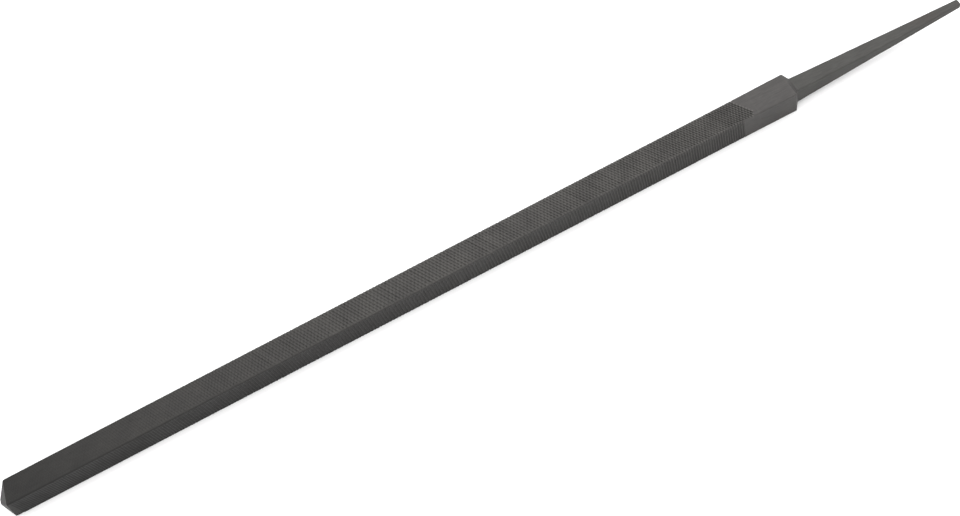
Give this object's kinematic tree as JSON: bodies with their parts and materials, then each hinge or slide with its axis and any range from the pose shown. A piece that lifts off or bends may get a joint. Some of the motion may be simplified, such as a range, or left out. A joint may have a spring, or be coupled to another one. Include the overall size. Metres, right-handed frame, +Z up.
{
  "type": "square file",
  "caption": "Square-section metalworking file of even thickness: double-cut top and bottom faces, single-cut sides, a plain heel, sloped shoulders and a bare tapered tang.",
  "frame": {"origin": "on the plane the file lies on, under the middle of its whole length, centred across its width", "axes": "+X runs along the file from the point to the end of the tang; +Z is up, away from the face it lies on; +Y completes the right-handed frame"},
  "size_m": [0.3038, 0.0082, 0.0082],
  "materials": {
    "cut_steel": "hardened file steel, dark matte grey, double-cut teeth on the top and bottom faces and single-cut rows on the two sides, crests a little brighter than the gullets",
    "heel_steel": "uncut ground steel, dark satin grey with a faintly warm heat tint, fine lengthwise grain, soft worn corners",
    "tang_steel": "forged and roughly ground steel, mid to dark satin grey, slightly uneven"
  },
  "bodies": {
    "root": {"point": "cut_steel", "cut_body": "cut_steel", "heel": "heel_steel", "shoulder": "heel_steel", "tang": "tang_steel"}
  },
  "joints": []
}
